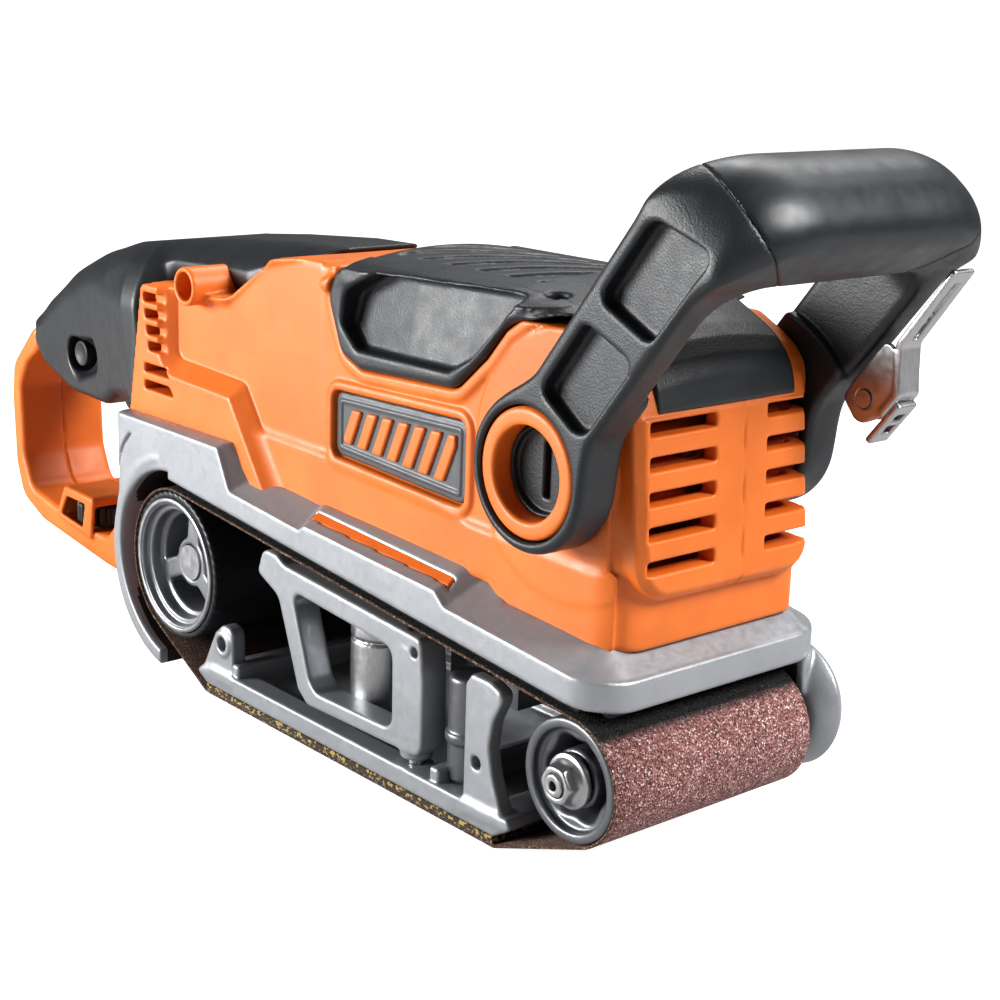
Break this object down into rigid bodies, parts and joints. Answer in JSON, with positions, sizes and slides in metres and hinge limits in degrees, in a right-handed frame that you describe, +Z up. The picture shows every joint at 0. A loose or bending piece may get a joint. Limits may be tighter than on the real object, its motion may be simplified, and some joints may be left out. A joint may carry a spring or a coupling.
{
  "type": "belt sander",
  "caption": "Handheld belt sander: cast frame with an open belt side, orange motor housing, black front handle that tilts, rear loop handle with trigger.",
  "frame": {"origin": "centre of the flat sanding face, at the middle of the platen length and belt width", "axes": "+X forward to the front roller, +Y to the machine's left (drive side), +Z up from the work"},
  "size_m": [0.422, 0.131, 0.1956],
  "materials": {
    "cast_frame": "painted satin silver-grey casting",
    "bright_metal": "machined and zinc-plated steel",
    "orange_plastic": "fine-textured moulded plastic",
    "black_plastic": "fine-textured moulded plastic",
    "soft_grip": "soft-touch overmould",
    "badge_grey": "satin grey plate",
    "brass": "machined",
    "carbon": "carbon block",
    "core_steel": "laminated core",
    "grit_belt": "red-brown abrasive cloth",
    "cork": "cork",
    "graphite": "graphite cloth"
  },
  "bodies": {
    "machine": {"base_frame": "cast_frame", "drive_cover": "black_plastic", "drive_cover_screws": "bright_metal", "dust_port": "black_plastic", "housing_right": "orange_plastic", "housing_left": "orange_plastic", "housing_screws": "bright_metal", "rear_grip": "soft_grip", "top_cover": "black_plastic", "badge_plates": "badge_grey", "stator": "core_steel", "motor_bearings": "bright_metal", "brush_holders": "brass", "carbon_brushes": "carbon", "brush_springs": "bright_metal", "brush_caps": "black_plastic", "gear_case": "cast_frame", "cross_shaft_bearings": "bright_metal", "toothed_belt": "soft_grip", "drum_bearings": "bright_metal", "yoke_guide": "cast_frame", "tension_spring": "bright_metal", "lever_pin": "bright_metal", "platen_shoe": "cast_frame", "cork_pad": "cork", "graphite_sheet": "graphite", "shoe_screws": "bright_metal", "sanding_belt": "grit_belt", "trigger_pin": "bright_metal", "switch_module": "black_plastic", "speed_module": "bright_metal", "power_cord": "soft_grip"},
    "drum": {"drum_hub": "cast_frame", "drum_lagging": "soft_grip", "drum_shaft": "bright_metal", "drum_pulley": "bright_metal"},
    "cross_drive": {"cross_shaft": "bright_metal", "bevel_gear": "bright_metal", "drive_pulley": "bright_metal"},
    "armature": {"armature_shaft": "bright_metal", "armature_core": "core_steel", "commutator": "brass", "cooling_fan": "black_plastic", "bevel_pinion": "bright_metal"},
    "tension_yoke": {"idler_yoke": "cast_frame", "roller_axle": "bright_metal", "roller_bearings": "bright_metal", "roller_nut": "bright_metal"},
    "idler": {"front_roller": "cast_frame"},
    "belt_lever": {"tension_lever": "cast_frame"},
    "tracking": {"tracking_knob": "black_plastic"},
    "handle": {"handle_arm_right": "black_plastic", "handle_arm_left": "black_plastic", "front_grip": "soft_grip", "clamp_pin": "bright_metal"},
    "handle_lock": {"clamp_lever": "bright_metal", "clamp_bracket": "bright_metal"},
    "switch_trigger": {"trigger": "black_plastic"},
    "lock_on": {"lock_button": "black_plastic"},
    "dial": {"speed_dial": "black_plastic"}
  },
  "joints": [
    {"name": "drum_spin", "type": "hinge", "parent": "machine", "child": "drum", "pos_m": [-0.0935, 0, 0.0392], "axis": [0, 1, 0], "continuous": true},
    {"name": "cross_spin", "type": "hinge", "parent": "machine", "child": "cross_drive", "pos_m": [-0.062, 0, 0.111], "axis": [0, 1, 0], "continuous": true},
    {"name": "armature_spin", "type": "hinge", "parent": "machine", "child": "armature", "pos_m": [0, 0.005, 0.111], "axis": [1, 0, 0], "continuous": true},
    {"name": "belt_release", "type": "hinge", "parent": "machine", "child": "belt_lever", "pos_m": [0.032, -0.032, 0], "axis": [0, 0, 1], "range_deg": [0, 70]},
    {"name": "tension_slide", "type": "slide", "parent": "machine", "child": "tension_yoke", "axis": [1, 0, 0], "range_m": [-0.006, 0], "deforming": ["tension_spring"]},
    {"name": "idler_spin", "type": "hinge", "parent": "tension_yoke", "child": "idler", "pos_m": [0.1026, 0, 0.0301], "axis": [0, 1, 0], "continuous": true},
    {"name": "tracking_turn", "type": "hinge", "parent": "machine", "child": "tracking", "pos_m": [0.07, 0, 0.052], "axis": [0, 1, 0], "range_deg": [-180, 180]},
    {"name": "handle_tilt", "type": "hinge", "parent": "machine", "child": "handle", "pos_m": [0.088, 0, 0.111], "axis": [0, 1, 0], "range_deg": [-55, 30]},
    {"name": "handle_lock_swing", "type": "hinge", "parent": "handle", "child": "handle_lock", "pos_m": [0.12413, 0, 0.12719], "axis": [0, 1, 0], "range_deg": [0, 80]},
    {"name": "trigger_pull", "type": "hinge", "parent": "machine", "child": "switch_trigger", "pos_m": [-0.159, 0, 0.086], "axis": [0, 1, 0], "range_deg": [0, 7]},
    {"name": "lock_on_press", "type": "slide", "parent": "machine", "child": "lock_on", "axis": [0, 1, 0], "range_m": [0, 0.003]},
    {"name": "speed_turn", "type": "hinge", "parent": "machine", "child": "dial", "pos_m": [-0.202, -0.002, 0.028], "axis": [0, 0, 1], "range_deg": [-135, 135]}
  ],
  "couplings": [
    {"joint": "cross_spin", "follows": "drum_spin", "ratio": 1.6923},
    {"joint": "armature_spin", "follows": "drum_spin", "ratio": 2.7083},
    {"joint": "idler_spin", "follows": "drum_spin", "ratio": 1.474},
    {"joint": "belt_release", "follows": "tension_slide", "rad_per_m": -203.62}
  ]
}
